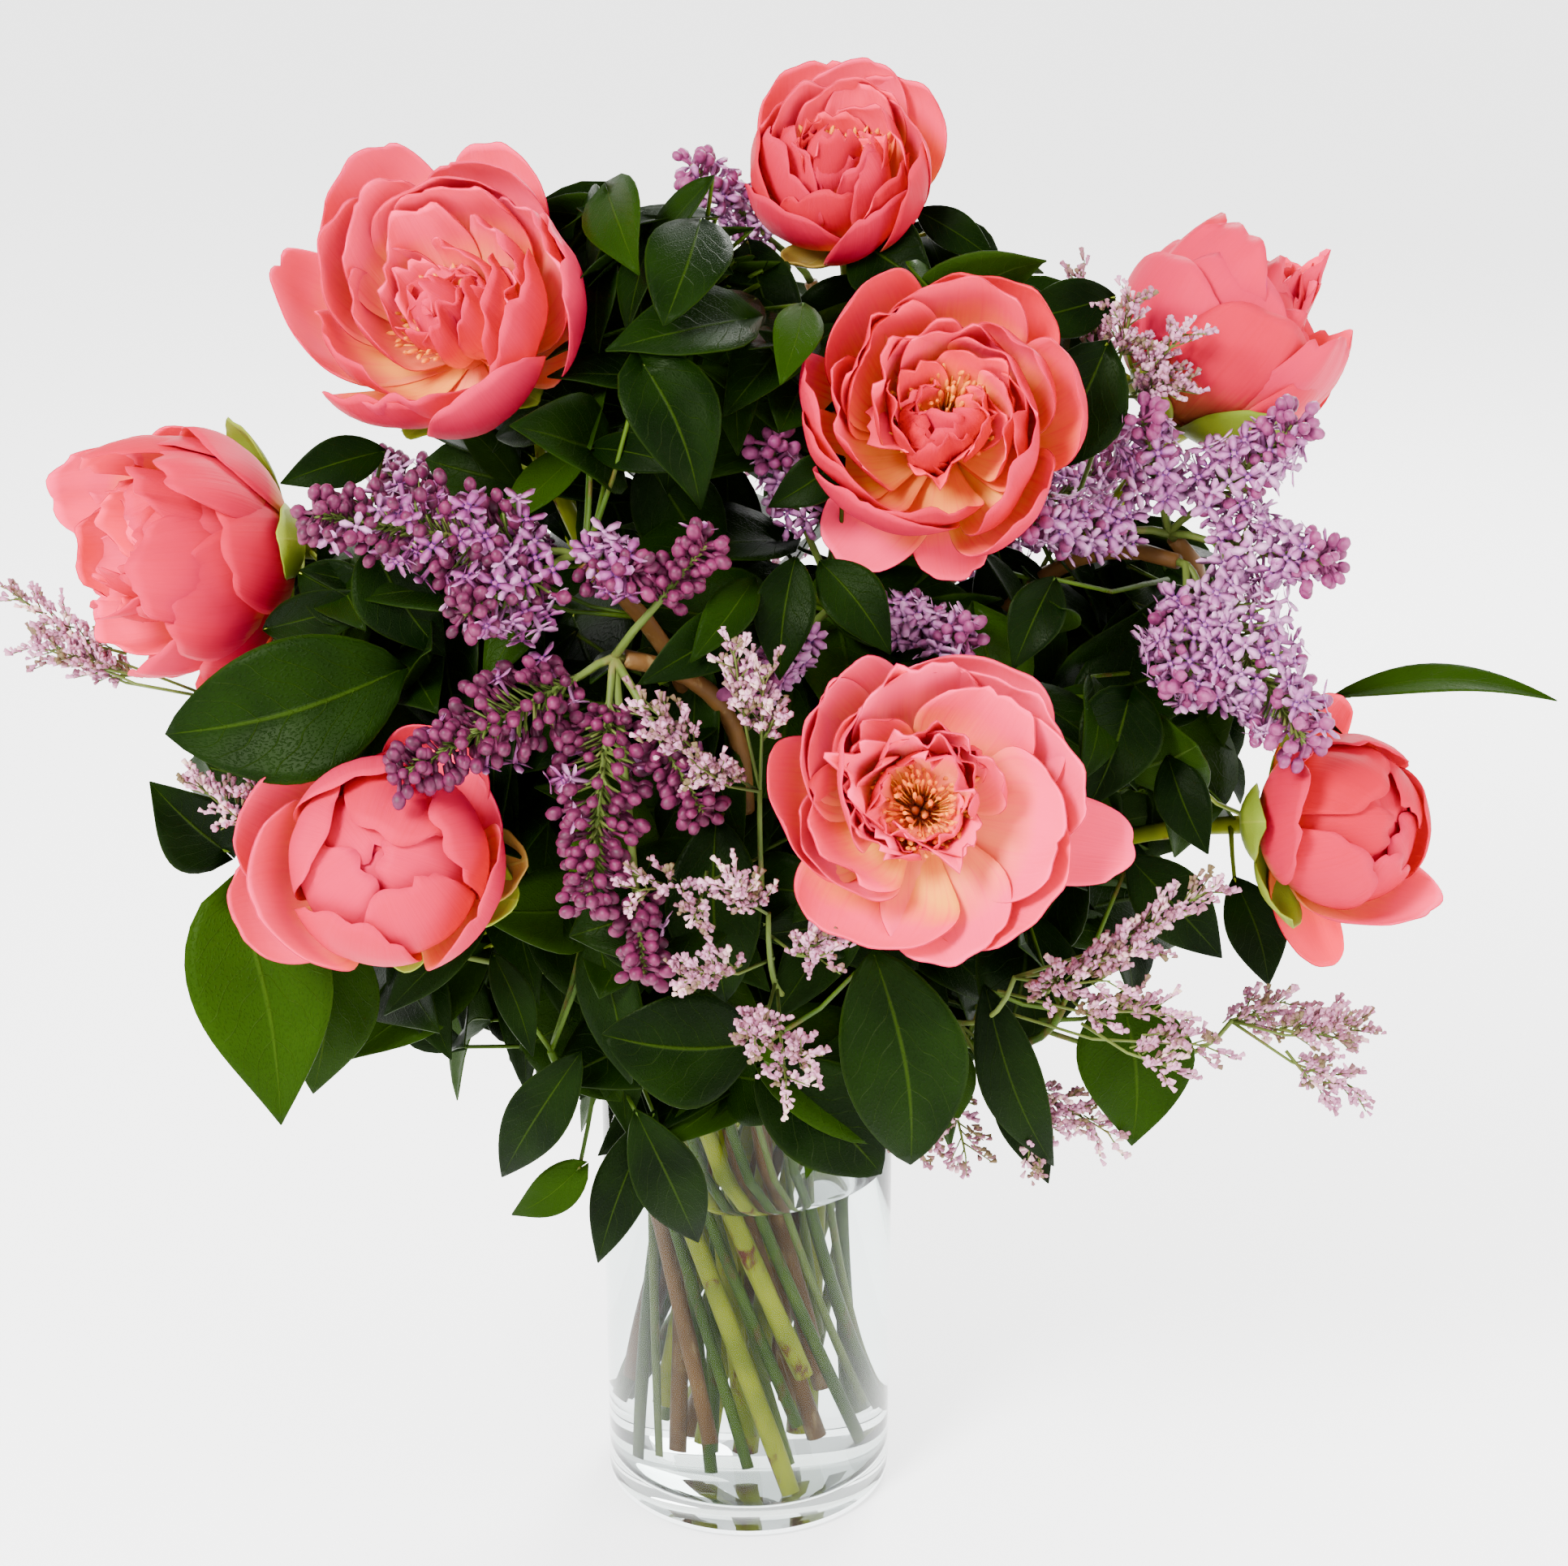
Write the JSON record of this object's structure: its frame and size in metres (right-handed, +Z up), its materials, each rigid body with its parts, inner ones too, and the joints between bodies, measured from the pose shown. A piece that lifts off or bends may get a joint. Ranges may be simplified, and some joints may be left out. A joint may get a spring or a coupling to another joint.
{
  "type": "peonies in a vase",
  "caption": "Full bunch of coral peonies with lilac, limonium and mixed leaves, standing in a clear glass cylinder vase of water.",
  "frame": {"origin": "middle of the vase's flat underside, which stands on the surface", "axes": "+Z up along the vase's axis, -Y towards the side of the bunch that the picture shows, +X to its right"},
  "size_m": [0.7561, 0.476, 0.7346],
  "materials": {
    "glass": "clear, polished",
    "water": "clear, still",
    "petal": "soft, satin",
    "stamen": "soft, matt",
    "lilac_dark": "soft, satin",
    "lilac_pale": "soft, satin",
    "limonium": "dry, matt",
    "peony_green": "satin",
    "leaf_green": "glossy upper side",
    "lilac_green": "bark below, green leaves"
  },
  "bodies": {
    "root": {"leafy_back_left_stem": "leaf_green", "leafy_back_right_stem": "leaf_green", "leafy_back_stem": "leaf_green", "leafy_back_top_stem": "leaf_green", "leafy_front_low_stem": "leaf_green", "leafy_left_low_stem": "leaf_green", "leafy_left_stem": "leaf_green", "leafy_right_low_stem": "leaf_green", "leafy_right_stem": "leaf_green", "leafy_top_stem": "leaf_green", "lilac_back_left_branch": "lilac_green", "lilac_back_left_florets": "lilac_dark", "lilac_back_right_branch": "lilac_green", "lilac_back_right_florets": "lilac_pale", "lilac_centre_branch": "lilac_green", "lilac_centre_florets": "lilac_pale", "lilac_left_lower_branch": "lilac_green", "lilac_left_lower_florets": "lilac_dark", "lilac_left_upper_branch": "lilac_green", "lilac_left_upper_florets": "lilac_dark", "lilac_right_lower_branch": "lilac_green", "lilac_right_lower_florets": "lilac_pale", "lilac_right_upper_branch": "lilac_green", "lilac_right_upper_florets": "lilac_pale", "lilac_top_branch": "lilac_green", "lilac_top_florets": "lilac_pale", "limonium_back_stem": "limonium", "limonium_centre_stem": "limonium", "limonium_far_right_stem": "limonium", "limonium_front_left_stem": "limonium", "limonium_front_stem": "limonium", "limonium_left_stem": "limonium", "limonium_right_stem": "limonium", "limonium_top_right_stem": "limonium", "peony_centre_petals": "petal", "peony_centre_stamens": "stamen", "peony_centre_stem": "peony_green", "peony_front_left_petals": "petal", "peony_front_left_stem": "peony_green", "peony_front_petals": "petal", "peony_front_stamens": "stamen", "peony_front_stem": "peony_green", "peony_left_petals": "petal", "peony_left_stem": "peony_green", "peony_right_petals": "petal", "peony_right_stem": "peony_green", "peony_top_left_petals": "petal", "peony_top_left_stamens": "stamen", "peony_top_left_stem": "peony_green", "peony_top_petals": "petal", "peony_top_right_petals": "petal", "peony_top_right_stem": "peony_green", "peony_top_stamens": "stamen", "peony_top_stem": "peony_green", "vase": "glass", "water": "water"}
  },
  "joints": []
}
